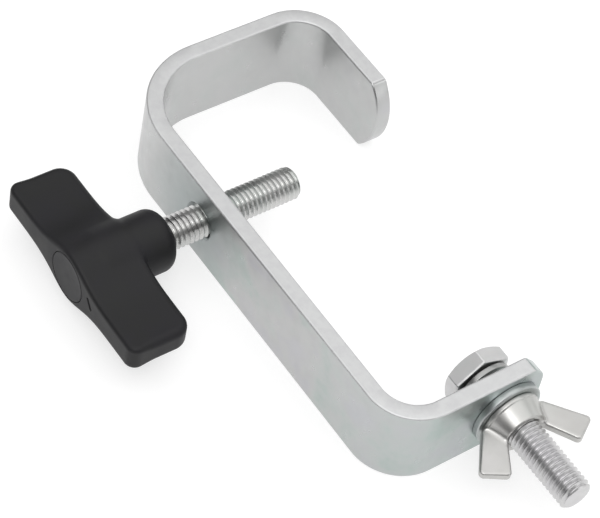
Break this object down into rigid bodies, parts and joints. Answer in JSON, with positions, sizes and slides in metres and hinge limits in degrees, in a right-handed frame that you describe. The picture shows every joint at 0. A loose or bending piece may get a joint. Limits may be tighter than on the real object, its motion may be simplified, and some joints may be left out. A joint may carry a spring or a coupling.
{
  "type": "pipe clamp",
  "caption": "Hook clamp for hanging stage equipment from a round tube: bent steel bracket, T-handled clamp screw and a wing-nutted bolt.",
  "frame": {"origin": "centre of the 50 mm tube that the hook holds, midway across the bar's width", "axes": "+X is the way the clamp screw drives, from the knob to the lip; +Y runs from the foot to the hook; +Z is the tube's direction, across the bar; the clamp lies on the bar's long edge"},
  "size_m": [0.112, 0.1713, 0.026],
  "materials": {
    "plate_zinc": "satin zinc plate on bent flat bar",
    "screw_zinc": "bright zinc plate",
    "knob_plastic": "fine moulded grain, semi-matt",
    "cap_plastic": "smooth moulded, semi-matt",
    "bolt_zinc": "bright zinc plate",
    "spring_zinc": "satin zinc plate",
    "washer_zinc": "satin zinc plate",
    "nut_nickel": "satin nickel plate, cast surface"
  },
  "bodies": {
    "bracket": {"bracket": "plate_zinc"},
    "screw_travel": {"knob_cap": "cap_plastic"},
    "screw": {"clamp_screw": "screw_zinc", "knob": "knob_plastic"},
    "bolt_slack": {"spring_washer": "spring_zinc"},
    "bolt": {"bolt": "bolt_zinc"},
    "nut_travel": {"flat_washer": "washer_zinc"},
    "wing_nut": {"wing_nut": "nut_nickel"}
  },
  "joints": [
    {"name": "screw_advance", "type": "slide", "parent": "bracket", "child": "screw_travel", "axis": [1, 0, 0], "range_m": [-0.0255, 0.0105]},
    {"name": "screw_turn", "type": "hinge", "parent": "screw_travel", "child": "screw", "pos_m": [-0.05, -0.0179, 0], "axis": [1, 0, 0], "range_deg": [-6120, 2520]},
    {"name": "bolt_slide", "type": "slide", "parent": "bracket", "child": "bolt_slack", "axis": [0, -1, 0], "range_m": [0, 0.0024]},
    {"name": "bolt_turn", "type": "hinge", "parent": "bolt_slack", "child": "bolt", "pos_m": [-0.00273, -0.12, 0], "axis": [0, -1, 0], "continuous": true},
    {"name": "nut_advance", "type": "slide", "parent": "bolt", "child": "nut_travel", "axis": [0, -1, 0], "range_m": [0, 0.021]},
    {"name": "nut_turn", "type": "hinge", "parent": "nut_travel", "child": "wing_nut", "pos_m": [-0.00273, -0.115, 0], "axis": [0, -1, 0], "range_deg": [0, 5040]}
  ],
  "couplings": [
    {"joint": "screw_advance", "follows": "screw_turn", "m_per_rad": 0.00023873},
    {"joint": "nut_advance", "follows": "nut_turn", "m_per_rad": 0.00023873}
  ]
}
